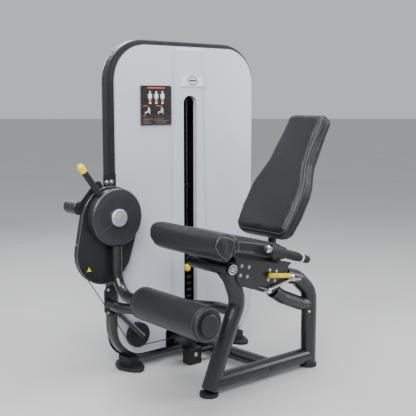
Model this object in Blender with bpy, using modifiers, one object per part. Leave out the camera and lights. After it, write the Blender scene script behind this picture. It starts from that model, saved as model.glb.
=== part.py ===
"""Leg extension machine: weight tower, swinging roller lever, seat and backrest.

Metres, +Z up. The user faces -X, the weight tower stands on the +Y side of the seat.
Plan coordinates are measured from the seat's centre plane and the tower's front edge;
at() moves them so that the object's origin is the middle of its footprint on the floor.
"""
import math

import bmesh
import bpy
from mathutils import Vector

# Plan centre of the footprint
CENTRE_X = 0.34045
CENTRE_Y = 0.21425
GAP = 0.0003

# Weight tower
TOWER_X0, TOWER_X1 = -0.004, 0.902
TOWER_MID_X = 0.5 * (TOWER_X0 + TOWER_X1)
TOWER_TOP, TOWER_BOTTOM = 1.592, 0.030
TOWER_Y0, TOWER_Y1 = 0.515, 0.595
TOWER_CORNER = 0.20
TUBE_THIN, TUBE_DEEP = 0.040, 0.080
SHROUD_INSET = 0.025
SHROUD_FACE_Y, COLUMN_FACE_Y = 0.503, 0.487
SHROUD_BOTTOM = 0.073
SLOT_WIDTH, SLOT_BOTTOM, SLOT_TOP = 0.083, 0.11, 1.33
REAR_DEPTH, REAR_BOTTOM = 0.125, 0.045

# Weight stack
STACK_Y = 0.632
PLATE_W, PLATE_D, PLATE_PITCH = 0.300, 0.095, 0.034
PLATE_COUNT, LIFTED_FROM = 12, 10
STACK_Z0 = 0.135
TOP_PLATE_H = 0.035
GUIDE_OFFSET, GUIDE_R = 0.089, 0.0125
SELECTOR_R, PIN_R = 0.012, 0.0045
KNOB_R = 0.018

# Knee axis and swinging lever
KNEE_X, KNEE_Z = -0.030, 0.775
DISC_R, DISC_Y0, DISC_Y1 = 0.134, 0.4100, 0.4655
CAP_R, CAP_Y0 = 0.0405, 0.3990
AXLE_R, AXLE_Y0 = 0.0125, 0.4350
CAM_R, CAM_Y0, CAM_Y1 = 0.122, 0.476, 0.488
CABLE_Y, CABLE_R = 0.482, 0.0025
LEVER_R, LEVER_Y, LEVER_BEND = 0.026, 0.437, 0.117
ROLLER_Z, ROLLER_Y0, ROLLER_Y1 = 0.413, -0.229, 0.226
ROLLER_R = 0.0755
COUNTER_DX, COUNTER_DZ, COUNTER_R = -0.138, 0.044, 0.032

# Pulleys: the radius is that of the cable's centre line
PIN = 0.0050
GUARD_PULLEY = {"centre": (-0.158, CABLE_Y, 0.565), "axis": (0, 1, 0), "radius": 0.040}
FRONT_PULLEY = {"centre": (0.118, CABLE_Y, 0.178), "axis": (0, 1, 0), "radius": 0.058}
IDLER = {"centre": (0.365, 0.4200, 0.120), "axis": (0, 0, 1), "radius": 0.062}
TURN_PULLEYS = (
    {"centre": (0.360, 0.5120, 0.120), "axis": (0, 0, 1), "radius": 0.030},
    {"centre": (0.390, 0.5580, 0.138), "axis": (1, 0, 0), "radius": 0.018},
    {"centre": (0.4195, 0.6040, 1.440), "axis": (0.6885, -0.7253, 0), "radius": 0.0407},
)

# Seat frame
FRAME_R = 0.038
PLATE_Y0, PLATE_Y1 = 0.0383, 0.0433
SEAT_HALF = 0.238
GRIP_Y = 0.265

# Colours, roughness, metallic
CHARCOAL = (0.035, 0.037, 0.042, 1.0), 0.32, 0.35
SATIN_BLACK = (0.020, 0.020, 0.022, 1.0), 0.45, 0.0
SILVER_PAINT = (0.62, 0.65, 0.70, 1.0), 0.38, 0.25
CHROME = (0.80, 0.81, 0.83, 1.0), 0.12, 1.0
STEEL = (0.50, 0.51, 0.53, 1.0), 0.35, 1.0
RUBBER = (0.018, 0.018, 0.019, 1.0), 0.75, 0.0
YELLOW = (0.85, 0.60, 0.02, 1.0), 0.40, 0.0
LEATHER = (0.040, 0.042, 0.046, 1.0), 0.55, 0.0
SLATE = (0.13, 0.14, 0.155, 1.0), 0.40, 0.3
WHITE = (0.75, 0.76, 0.78, 1.0), 0.45, 0.0

TAU = 2.0 * math.pi


def at(x, y, z):
    """Point of the object's frame for plan coordinates x, y and height z."""
    return Vector((x - CENTRE_X, y - CENTRE_Y, z))


def clear_scene():
    for obj in list(bpy.data.objects):
        bpy.data.objects.remove(obj, do_unlink=True)


def collection(name):
    made = bpy.data.collections.new(name)
    bpy.context.scene.collection.children.link(made)
    return made


clear_scene()
MACHINE = collection("leg_extension_machine")
CUTTERS = collection("cutters")


def material(name, look):
    colour, roughness, metallic = look
    made = bpy.data.materials.new(name)
    made.use_nodes = True
    shader = made.node_tree.nodes["Principled BSDF"]
    shader.inputs["Base Color"].default_value = colour
    shader.inputs["Roughness"].default_value = roughness
    shader.inputs["Metallic"].default_value = metallic
    made.diffuse_color = colour
    return made


def finish(name, bm, look, origin=None, smooth=True):
    """Object from a bmesh; without a look it is a hidden cutter."""
    bmesh.ops.remove_doubles(bm, verts=bm.verts, dist=1e-6)
    bmesh.ops.recalc_face_normals(bm, faces=bm.faces)
    origin = origin or Vector((0.0, 0.0, 0.0))
    bmesh.ops.translate(bm, verts=bm.verts, vec=-origin)
    mesh = bpy.data.meshes.new(name)
    bm.to_mesh(mesh)
    bm.free()
    obj = bpy.data.objects.new(name, mesh)
    obj.location = origin
    if look is None:
        CUTTERS.objects.link(obj)
        obj.hide_render = True
        obj.display_type = "WIRE"
        return obj
    MACHINE.objects.link(obj)
    mesh.materials.append(material(name + "_finish", look))
    if smooth:
        mesh.shade_smooth()
        mesh.set_sharp_from_angle(angle=math.radians(35.0))
    return obj


def bevel(obj, width, segments=2, angle=40.0):
    mod = obj.modifiers.new("Bevel", "BEVEL")
    mod.width = width
    mod.segments = segments
    mod.limit_method = "ANGLE"
    mod.angle_limit = math.radians(angle)
    return obj


def boolean(obj, other, operation="DIFFERENCE"):
    mod = obj.modifiers.new("Boolean", "BOOLEAN")
    mod.operation = operation
    mod.solver = "EXACT"
    mod.object = other
    return obj


def fillet(points, radius, steps=6, closed=False):
    """Polyline whose corners are replaced by arcs."""
    points = [Vector(p) for p in points]
    count = len(points)
    out = []
    for i, corner in enumerate(points):
        if not closed and i in (0, count - 1):
            out.append(corner)
            continue
        back = points[i - 1] - corner
        ahead = points[(i + 1) % count] - corner
        room = 0.49 * min(back.length, ahead.length)
        back.normalize()
        ahead.normalize()
        half = 0.5 * back.angle(ahead)
        if half > math.radians(88.0):
            out.append(corner)
            continue
        r = radius[i] if isinstance(radius, (list, tuple)) else radius
        reach = min(r / math.tan(half), room)
        r = reach * math.tan(half)
        centre = corner + (back + ahead).normalized() * (r / math.sin(half))
        start = (corner + back * reach - centre).normalized()
        end = (corner + ahead * reach - centre).normalized()
        for k in range(steps + 1):
            out.append(centre + start.slerp(end, k / steps) * r)
    return out


def ring(radius, sides):
    return [
        (radius * math.cos(TAU * k / sides), radius * math.sin(TAU * k / sides))
        for k in range(sides)
    ]


def flat_oval(width, depth, steps=5):
    """Section with straight sides along its depth and round ends."""
    r = 0.5 * width
    run = 0.5 * depth - r
    out = []
    for side in (1, -1):
        for k in range(steps + 1):
            angle = math.pi * k / steps if side > 0 else math.pi + math.pi * k / steps
            out.append((r * math.cos(angle), side * run + r * math.sin(angle)))
    return out


def sweep(name, path, section, look, normal=None, closed=False, origin=None):
    """Section carried along a path. Its second axis follows normal when one is given."""
    path = [Vector(p) for p in path]
    count = len(path)
    tangents = []
    for i in range(count):
        if closed:
            step = path[(i + 1) % count] - path[i - 1]
        else:
            step = path[min(i + 1, count - 1)] - path[max(i - 1, 0)]
        tangents.append(step.normalized())
    up = Vector(normal) if normal else tangents[0].orthogonal().normalized()
    bm = bmesh.new()
    rings = []
    for point, tangent in zip(path, tangents):
        if not normal:
            up = (up - tangent * up.dot(tangent)).normalized()
        side = tangent.cross(up).normalized()
        rings.append([bm.verts.new(point + side * a + up * b) for a, b in section])
    bands = count if closed else count - 1
    for i in range(bands):
        low, high = rings[i], rings[(i + 1) % count]
        for k in range(len(section)):
            n = (k + 1) % len(section)
            bm.faces.new((low[k], low[n], high[n], high[k]))
    if not closed:
        bm.faces.new(rings[0])
        bm.faces.new(rings[-1])
    return finish(name, bm, look, origin)


def loft(name, loops, look, origin=None, capped=True):
    """Skin over closed loops that all have the same number of points."""
    bm = bmesh.new()
    rings = [[bm.verts.new(p) for p in loop] for loop in loops]
    for low, high in zip(rings, rings[1:]):
        for k in range(len(low)):
            n = (k + 1) % len(low)
            bm.faces.new((low[k], low[n], high[n], high[k]))
    if capped:
        bm.faces.new(rings[0])
    bm.faces.new(rings[-1])
    return finish(name, bm, look, origin)


def plate(name, outline, y0, y1, look, origin=None):
    """Upright plate: an (x, z) outline extruded from y0 to y1."""
    loops = [[at(x, y, z) for x, z in outline] for y in (y0, y1)]
    return loft(name, loops, look, origin)


def box(name, low, high, look, origin=None):
    (x0, y0, z0), (x1, y1, z1) = low, high
    outline = [(x0, z0), (x1, z0), (x1, z1), (x0, z1)]
    return plate(name, outline, y0, y1, look, origin)


def lathe(name, centre, axis, profile, look, sides=24, origin=None, bore=0.0):
    """Turned piece: profile is (distance along the axis, radius) pairs."""
    axis = Vector(axis).normalized()
    side = axis.orthogonal().normalized()
    other = axis.cross(side)
    bm = bmesh.new()
    loops = list(profile)
    if bore > 0.0:
        loops = loops + [(profile[-1][0], bore), (profile[0][0], bore)]
    rings = []
    for along, radius in loops:
        middle = centre + axis * along
        rings.append(
            [bm.verts.new(middle + side * a + other * b) for a, b in ring(radius, sides)]
        )
    pairs = list(zip(rings, rings[1:]))
    if bore > 0.0:
        pairs.append((rings[-1], rings[0]))
    for low, high in pairs:
        for k in range(sides):
            n = (k + 1) % sides
            bm.faces.new((low[k], low[n], high[n], high[k]))
    if bore == 0.0:
        bm.faces.new(rings[0])
        bm.faces.new(rings[-1])
    return finish(name, bm, look, origin)


def rod(name, start, end, radius, look, sides=16, origin=None):
    length = (end - start).length
    return lathe(name, start, end - start, [(0, radius), (length, radius)], look, sides, origin)


def round_rect(x0, x1, z0, z1, r_low, r_high, steps=8):
    corners = [(x0, 0, z0), (x1, 0, z0), (x1, 0, z1), (x0, 0, z1)]
    path = fillet(corners, [r_low, r_low, r_high, r_high], steps, closed=True)
    return [(p.x, p.z) for p in path]


# ---------------------------------------------------------------- weight tower

def tower():
    half = 0.5 * TUBE_THIN
    y = 0.5 * (TOWER_Y0 + TOWER_Y1)
    outline = round_rect(
        TOWER_X0 + half, TOWER_X1 - half, TOWER_BOTTOM + half, TOWER_TOP - half,
        TOWER_CORNER - half, TOWER_CORNER - half, 12,
    )
    path = [at(x, y, z) for x, z in outline]
    section = flat_oval(TUBE_THIN, TUBE_DEEP, 4)
    sweep("tower_loop", path, section, CHARCOAL, normal=(0, 1, 0), closed=True)
    for name, x in (("foot_front", 0.105), ("foot_rear", 2 * TOWER_MID_X - 0.105)):
        foot(name, x)


def foot(name, x):
    """Levelling foot under the loop: a pointed plate with a boxed stub on top."""
    reach, half = 0.100, 0.066
    loop = []
    for k in range(24):
        angle = TAU * k / 24
        pinch = 1.0 - 0.22 * abs(math.sin(angle))
        loop.append((half * math.cos(angle) * pinch, reach * math.sin(angle)))
    loops = [
        [at(x + a, 0.540 + b, z) for a, b in loop]
        for z in (0.0, 0.016)
    ]
    base = bevel(loft(name, loops, RUBBER), 0.003, 1)
    stub = box(name + "_stub", (x - 0.030, 0.500, 0.010), (x + 0.030, 0.592, 0.060), None)
    boolean(base, stub, "UNION")
    half_thin = 0.5 * TUBE_THIN
    y = 0.5 * (TOWER_Y0 + TOWER_Y1)
    outline = round_rect(
        TOWER_X0 + half_thin, TOWER_X1 - half_thin,
        TOWER_BOTTOM + half_thin, TOWER_TOP - half_thin,
        TOWER_CORNER - half_thin, TOWER_CORNER - half_thin, 12,
    )
    low = [(px, pz) for px, pz in outline if pz < 0.4 and abs(px - x) < 0.3]
    low.sort()
    path = [at(px, y, pz) for px, pz in low]
    section = flat_oval(TUBE_THIN + 2 * GAP, TUBE_DEEP + 2 * GAP, 4)
    tube = sweep(name + "_seat", path, section, None, normal=(0, 1, 0))
    boolean(base, tube)


def shrouds():
    x0, x1 = TOWER_X0 + SHROUD_INSET, TOWER_X1 - SHROUD_INSET
    top = TOWER_TOP - SHROUD_INSET
    corner = TOWER_CORNER - SHROUD_INSET
    outline = round_rect(x0, x1, SHROUD_BOTTOM, top, 0.14, corner, 12)
    front = plate("shroud_front", outline, SHROUD_FACE_Y, TOWER_Y0 - GAP, SILVER_PAINT)
    column = [
        (0.349, 0.085), (0.556, 0.085), (0.557, 0.60), (0.531, 1.560),
        (0.368, 1.560), (0.348, 0.60),
    ]
    raised = plate("shroud_column", column, COLUMN_FACE_Y, SHROUD_FACE_Y + 0.0112, None)
    bevel(raised, 0.012, 2)
    boolean(front, raised, "UNION")
    half = 0.5 * SLOT_WIDTH
    slot = round_rect(TOWER_MID_X - half, TOWER_MID_X + half, SLOT_BOTTOM, SLOT_TOP, 0.004, 0.036, 5)
    boolean(front, plate("slot_cutter", slot, 0.44, 0.56, None))
    notch = round_rect(0.300, 0.402, 0.050, 0.160, 0.006, 0.012, 3)
    boolean(front, plate("notch_cutter", notch, 0.44, 0.56, None))
    step = round_rect(0.159, 0.343, 1.187, 1.378, 0.008, 0.008, 3)
    plate("placard", step, SHROUD_FACE_Y - 0.0043, SHROUD_FACE_Y - GAP, SATIN_BLACK)
    badge = round_rect(0.387, 0.538, 1.372, 1.435, 0.010, 0.010, 3)
    plate("badge", badge, COLUMN_FACE_Y - 0.0033, COLUMN_FACE_Y - GAP, WHITE)
    rear_shroud()


def rear_shroud():
    """Pressed rear cover, open towards the stack."""
    loops = []
    for depth, inset in ((0.0, 0.0), (0.055, 0.028), (0.105, 0.062), (REAR_DEPTH, 0.100)):
        shrink = SHROUD_INSET + inset
        outline = round_rect(
            TOWER_X0 + shrink, TOWER_X1 - shrink,
            REAR_BOTTOM + 0.15 * inset, TOWER_TOP - shrink,
            0.12, TOWER_CORNER - SHROUD_INSET, 8,
        )
        y = TOWER_Y1 + 0.0025 + depth
        loops.append([at(x, y, z) for x, z in outline])
    cover = loft("shroud_rear", loops, SILVER_PAINT, capped=False)
    skin = cover.modifiers.new("Solidify", "SOLIDIFY")
    skin.thickness = 0.004
    skin.offset = -1.0


# ---------------------------------------------------------------- weight stack

def guide_x(side):
    return TOWER_MID_X + side * GUIDE_OFFSET


def stack_plate(name, z0, height, look):
    x0 = TOWER_MID_X - 0.5 * PLATE_W
    y0 = STACK_Y - 0.5 * PLATE_D
    made = box(
        name, (x0, y0, z0 + GAP), (x0 + PLATE_W, y0 + PLATE_D, z0 + height), look,
        origin=at(TOWER_MID_X, STACK_Y, z0),
    )
    bevel(made, 0.003, 1)
    holes = [(guide_x(side), GUIDE_R + 0.001) for side in (-1, 1)]
    if not name.startswith("top"):
        holes.append((TOWER_MID_X, SELECTOR_R + 0.001))
    for i, (x, r) in enumerate(holes):
        cutter = rod(
            name + "_hole_%d" % i, at(x, STACK_Y, z0 - 0.05), at(x, STACK_Y, z0 + 0.10), r, None, 12,
        )
        boolean(made, cutter)
    if not name.startswith("top"):
        z = z0 + 0.5 * height
        cutter = rod(
            name + "_pin_hole", at(TOWER_MID_X, y0 - 0.02, z), at(TOWER_MID_X, STACK_Y, z),
            PIN_R + 0.0008, None, 8,
        )
        boolean(made, cutter)
    return made


def resting_plates():
    """The plates below the pin, one block with a groove between neighbours."""
    x0, x1 = TOWER_MID_X - 0.5 * PLATE_W, TOWER_MID_X + 0.5 * PLATE_W
    y0, y1 = STACK_Y - 0.5 * PLATE_D, STACK_Y + 0.5 * PLATE_D
    groove, chamfer = 0.004, 0.0015
    loops = []
    for k in range(LIFTED_FROM - 1):
        z = STACK_Z0 + k * PLATE_PITCH
        for inset, level in (
            (groove, z + GAP), (0.0, z + chamfer),
            (0.0, z + PLATE_PITCH - chamfer), (groove, z + PLATE_PITCH - GAP),
        ):
            loops.append([
                at(x0 + inset, y0 + inset, level), at(x1 - inset, y0 + inset, level),
                at(x1 - inset, y1 - inset, level), at(x0 + inset, y1 - inset, level),
            ])
    made = loft("resting_plates", loops, SATIN_BLACK)
    top = STACK_Z0 + (LIFTED_FROM - 1) * PLATE_PITCH + 0.05
    for i, (x, r) in enumerate((
        (guide_x(-1), GUIDE_R + 0.001), (guide_x(1), GUIDE_R + 0.001),
        (TOWER_MID_X, SELECTOR_R + 0.001),
    )):
        cutter = rod("resting_bore_%d" % i, at(x, STACK_Y, 0.10), at(x, STACK_Y, top), r, None, 12)
        boolean(made, cutter)
    for k in range(LIFTED_FROM - 1):
        z = STACK_Z0 + (k + 0.5) * PLATE_PITCH
        cutter = rod(
            "resting_pin_hole_%d" % k, at(TOWER_MID_X, y0 - 0.02, z), at(TOWER_MID_X, STACK_Y, z),
            PIN_R + 0.0008, None, 6,
        )
        boolean(made, cutter)


def stack():
    resting_plates()
    for k in range(LIFTED_FROM - 1, PLATE_COUNT):
        z = STACK_Z0 + k * PLATE_PITCH
        stack_plate("weight_plate_%02d" % (k + 1), z, PLATE_PITCH, SATIN_BLACK)
    top_z = STACK_Z0 + PLATE_COUNT * PLATE_PITCH
    top = stack_plate("top_plate", top_z, TOP_PLATE_H, CHARCOAL)
    selector_rod(top, top_z)
    pin_z = STACK_Z0 + (LIFTED_FROM - 0.5) * PLATE_PITCH
    selector_pin(pin_z)
    rails()


def selector_rod(top, top_z):
    """Drilled rod that hangs from the top plate through every plate, and the cable's eye."""
    low = STACK_Z0 + 0.002
    hanging = rod(
        "selector_rod", at(TOWER_MID_X, STACK_Y, low), at(TOWER_MID_X, STACK_Y, top_z + 0.010),
        SELECTOR_R, None, 12,
    )
    boolean(top, hanging, "UNION")
    for k in range(PLATE_COUNT):
        z = STACK_Z0 + (k + 0.5) * PLATE_PITCH
        hole = rod(
            "rod_hole_%02d" % (k + 1), at(TOWER_MID_X, STACK_Y - 0.03, z),
            at(TOWER_MID_X, STACK_Y + 0.03, z), PIN_R + 0.0008, None, 6,
        )
        boolean(top, hole)
    eye = lathe(
        "top_eye", at(TOWER_MID_X, STACK_Y, top_z + TOP_PLATE_H - 0.004), (0, 0, 1),
        [(0, 0.016), (0.016, 0.016), (0.020, 0.009), (0.0443, 0.009)], None, 12,
    )
    boolean(top, eye, "UNION")


def selector_pin(z):
    """Stack pin; its origin is on its own axis at the tip."""
    front = STACK_Y - 0.5 * PLATE_D
    tip = at(TOWER_MID_X, STACK_Y + 0.012, z)
    reach = STACK_Y + 0.012 - front
    lathe(
        "selector_pin", tip, (0, -1, 0),
        [(0, PIN_R), (reach + 0.047, PIN_R), (reach + 0.047, 0.009), (reach + 0.052, 0.009)],
        CHROME, 12, origin=tip,
    )
    lathe(
        "pin_knob", tip + Vector((0, -(reach + 0.052 + GAP), 0)), (0, -1, 0),
        [(0, 0.010), (0.004, KNOB_R), (0.020, KNOB_R), (0.026, 0.013)], YELLOW, 20, origin=tip,
    )


def rails():
    base_z = 0.0703
    for side, name in ((-1, "left"), (1, "right")):
        x = guide_x(side)
        low = at(x, STACK_Y, base_z + 0.0153)
        rod("guide_rod_" + name, low, at(x, STACK_Y, 1.495), GUIDE_R, CHROME, 16)
    base = box("stack_base", (0.305, 0.535, base_z), (0.593, 0.680, base_z + 0.030), CHARCOAL)
    for i, (low, high) in enumerate((
        ((0.335, 0.490, base_z + 0.001), (0.385, 0.545, base_z + 0.029)),
        ((0.400, 0.545, base_z + 0.020), (0.408, 0.571, 0.150)),
    )):
        boolean(base, box("base_lug_%d" % i, low, high, None), "UNION")
    entry, rise = TURN_PULLEYS[0], TURN_PULLEYS[1]
    x, y, z = entry["centre"]
    boolean(base, rod("base_pin_0", at(x, y, base_z + 0.02), at(x, y, z + 0.010), PIN, None, 12), "UNION")
    x, y, z = rise["centre"]
    boolean(base, rod("base_pin_1", at(x - 0.009, y, z), at(x + 0.014, y, z), PIN, None, 12), "UNION")
    for side, name in ((-1, "left"), (1, "right")):
        x = guide_x(side)
        buffer = rod(
            "buffer_" + name,
            at(x, STACK_Y, base_z + 0.010), at(x, STACK_Y, STACK_Z0 - GAP), 0.024, None, 16,
        )
        boolean(base, buffer, "UNION")
        seat_hole = rod(
            "rail_seat_" + name, at(x, STACK_Y, base_z + 0.015), at(x, STACK_Y, STACK_Z0 + 0.02),
            GUIDE_R + GAP, None, 16,
        )
        boolean(base, seat_hole)
    head = box("stack_head", (0.305, 0.596, 1.4953), (0.593, 0.660, 1.5250), CHARCOAL)
    lug = box("stack_head_lug", (0.412, 0.540, 1.497), (0.486, 0.600, 1.5517), None)
    boolean(head, lug, "UNION")
    top = TURN_PULLEYS[2]
    axis = Vector(top["axis"]).normalized()
    middle = at(*top["centre"])
    arm = middle + axis * 0.016
    boolean(head, rod("head_pin", middle - axis * 0.009, arm, PIN, None, 12), "UNION")
    drop = arm + Vector((0, 0, -0.007))
    boolean(head, rod("head_hanger", drop, arm + Vector((0, 0, 0.065)), 0.007, None, 12), "UNION")


# ---------------------------------------------------------------- cable and pulleys

def pulley(name, spec, width, rim, look, sides=24):
    """Grooved pulley, turned about its own axis."""
    centre = at(*spec["centre"])
    floor = spec["radius"] - CABLE_R - GAP
    half = 0.5 * width
    profile = [
        (-half, floor + rim), (-0.0035, floor + rim), (-0.0030, floor),
        (0.0030, floor), (0.0035, floor + rim), (half, floor + rim),
    ]
    return lathe(name, centre, spec["axis"], profile, look, sides, centre, bore=PIN + GAP)


def pulleys():
    pulley("guard_pulley", GUARD_PULLEY, 0.014, 0.003, SATIN_BLACK, 20)
    pulley("front_pulley", FRONT_PULLEY, 0.024, 0.006, SATIN_BLACK, 28)
    pulley("idler_wheel", IDLER, 0.016, 0.0015, SATIN_BLACK, 28)
    pulley("entry_pulley", TURN_PULLEYS[0], 0.014, 0.0015, SATIN_BLACK, 20)
    pulley("rise_pulley", TURN_PULLEYS[1], 0.014, 0.0015, SATIN_BLACK, 16)
    pulley("top_pulley", TURN_PULLEYS[2], 0.014, 0.004, SATIN_BLACK, 24)


def outer_tangent(c1, r1, c2, r2):
    """Unit normal of the tangent that leaves both centres on its left."""
    reach = Vector((c2[0] - c1[0], c2[1] - c1[1]))
    along = reach.normalized()
    right = Vector((along.y, -along.x))
    lean = (r1 - r2) / reach.length
    return right * math.sqrt(1.0 - lean * lean) + along * lean


def wrap(centre, start, end, radius, steps):
    start, end = Vector(start).normalized(), Vector(end).normalized()
    return [centre + start.slerp(end, k / steps) * radius for k in range(steps + 1)]


def cable():
    """Steel rope from the cam, round every pulley, to the top plate."""
    cam_r = CAM_R - 0.0040 + CABLE_R + GAP
    guard = (GUARD_PULLEY["centre"][0], GUARD_PULLEY["centre"][2])
    front = (FRONT_PULLEY["centre"][0], FRONT_PULLEY["centre"][2])
    r1, r2 = GUARD_PULLEY["radius"], FRONT_PULLEY["radius"]
    n1 = outer_tangent((KNEE_X, KNEE_Z), cam_r, guard, r1)
    n2 = outer_tangent(guard, r1, front, r2)
    up1, up2 = Vector((n1.x, 0, n1.y)), Vector((n2.x, 0, n2.y))
    path = [at(KNEE_X, CABLE_Y, KNEE_Z) + up1 * cam_r]
    path += wrap(at(*GUARD_PULLEY["centre"]), up1, up2, r1, 4)
    path += wrap(at(*FRONT_PULLEY["centre"]), up2, (0, 0, -1), r2, 5)
    entry, rise, top = TURN_PULLEYS
    path += wrap(at(*entry["centre"]), (0, -1, 0), (1, 0, 0), entry["radius"], 6)
    path += wrap(at(*rise["centre"]), (0, 0, -1), (0, 1, 0), rise["radius"], 5)
    across = Vector((0.7253, 0.6885, 0))
    path += wrap(at(*top["centre"]), -across, (0, 0, 1), top["radius"], 6)
    path += wrap(at(*top["centre"]), (0, 0, 1), across, top["radius"], 6)[1:]
    path.append(path[-1] + Vector((0, 0, -0.012)))
    sweep("cable", path, ring(CABLE_R, 6), SATIN_BLACK)
    lower = at(TOWER_MID_X, STACK_Y, STACK_Z0 + PLATE_COUNT * PLATE_PITCH + TOP_PLATE_H + 0.0408)
    rod("cable_drop", lower, path[-1] - Vector((0, 0, GAP)), CABLE_R, SATIN_BLACK, 6)


# ---------------------------------------------------------------- knee axis

def knee():
    return at(KNEE_X, 0.0, KNEE_Z)


def hull_of_circles(circles, steps=28):
    """Convex outline round circles given as (x, z, radius)."""
    spots = sorted(
        (x + r * math.cos(TAU * k / steps), z + r * math.sin(TAU * k / steps))
        for x, z, r in circles
        for k in range(steps)
    )
    outline = []
    for order in (spots, spots[::-1]):
        chain = []
        for p in order:
            while len(chain) > 1:
                (ax, az), (bx, bz) = chain[-2], chain[-1]
                if (bx - ax) * (p[1] - az) - (bz - az) * (p[0] - ax) > 1e-9:
                    break
                chain.pop()
            chain.append(p)
        outline += chain[:-1]
    return outline


def knee_guard():
    """Tray-shaped cover over the cam, open towards the tower."""
    wall = 0.004
    lobes = [(-0.034, 0.760, 0.155), (-0.073, 0.608, 0.147)]
    outer = hull_of_circles(lobes, 36)
    inner = hull_of_circles([(x, z, r - wall) for x, z, r in lobes], 36)
    guard = bevel(plate("knee_guard", outer, 0.4665, 0.4935, CHARCOAL), 0.0025, 2)
    boolean(guard, plate("guard_hollow", inner, 0.4695, 0.5100, None))
    centre = at(KNEE_X, 0.0, KNEE_Z)
    hole = lathe("guard_hole", centre, (0, 1, 0), [(0.440, 0.034), (0.480, 0.034)], None, 20)
    boolean(guard, hole)
    boolean(guard, box("guard_exit", (-0.190, 0.476, 0.440), (-0.125, 0.488, 0.520), None))


def mounts():
    """Plate that carries the knee axle and the guard on the tower tube."""
    outline = [(-0.045, 0.455), (0.020, 0.455), (0.020, 0.965), (-0.045, 0.965)]
    carrier = plate("knee_carrier", outline, 0.5080, TOWER_Y0 - GAP, CHARCOAL)
    centre = at(KNEE_X, 0.0, KNEE_Z)
    axle = lathe("knee_axle_bar", centre, (0, 1, 0), [(AXLE_Y0, AXLE_R), (0.510, AXLE_R)], None, 20)
    boolean(carrier, axle, "UNION")
    for i, (x, z) in enumerate(((-0.015, 0.600), (-0.030, 0.500))):
        post = rod("guard_post_%d" % i, at(x, 0.4698, z), at(x, 0.510, z), 0.007, None, 12)
        boolean(carrier, post, "UNION")
    x, y, z = GUARD_PULLEY["centre"]
    boolean(carrier, rod("guard_pulley_pin", at(x, y - 0.009, z), at(x, 0.506, z), PIN, None, 12), "UNION")
    strap = plate(
        "guard_pulley_strap",
        [(x - 0.012, z - 0.012), (-0.030, z - 0.012), (-0.030, z + 0.012), (x - 0.012, z + 0.012)],
        0.5005, 0.5070, None,
    )
    boolean(carrier, strap, "UNION")
    root = box("strap_root", (-0.043, 0.5000, z - 0.012), (-0.020, 0.5100, z + 0.012), None)
    boolean(carrier, root, "UNION")


def cam():
    centre = knee()
    rim, floor = CAM_R, CAM_R - 0.0040
    profile = [
        (CAM_Y0, rim), (CABLE_Y - 0.0034, rim), (CABLE_Y - 0.0030, floor),
        (CABLE_Y + 0.0030, floor), (CABLE_Y + 0.0034, rim), (CAM_Y1, rim),
        (CAM_Y1, 0.030), (0.4947, 0.030),
    ]
    profile = [(0.4668, 0.030), (CAM_Y0, 0.030)] + profile
    lathe("cam", centre, (0, 1, 0), profile, STEEL, 32, centre, bore=AXLE_R + 0.0003)
    arm_profile = hull_of_circles(
        [
            (KNEE_X + COUNTER_DX, KNEE_Z + COUNTER_DZ, 0.028),
            (-0.085, 0.918, 0.022),
            (KNEE_X, KNEE_Z, 0.045),
        ],
        20,
    )
    arm = plate("counter_arm", arm_profile, 0.4950, 0.5020, SATIN_BLACK, centre)
    hole = [(0.48, AXLE_R + 0.0003), (0.52, AXLE_R + 0.0003)]
    bore = lathe("counter_arm_bore", centre, (0, 1, 0), hole, None, 20)
    boolean(arm, bore)
    lathe(
        "counterweight", at(KNEE_X + COUNTER_DX, 0.5023, KNEE_Z + COUNTER_DZ), (0, 1, 0),
        [
            (0, 0.010), (0.0152, 0.010), (0.0152, COUNTER_R - 0.003), (0.0182, COUNTER_R),
            (0.1120, COUNTER_R), (0.1150, COUNTER_R - 0.003),
        ],
        SATIN_BLACK, 24, centre,
    )


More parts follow.
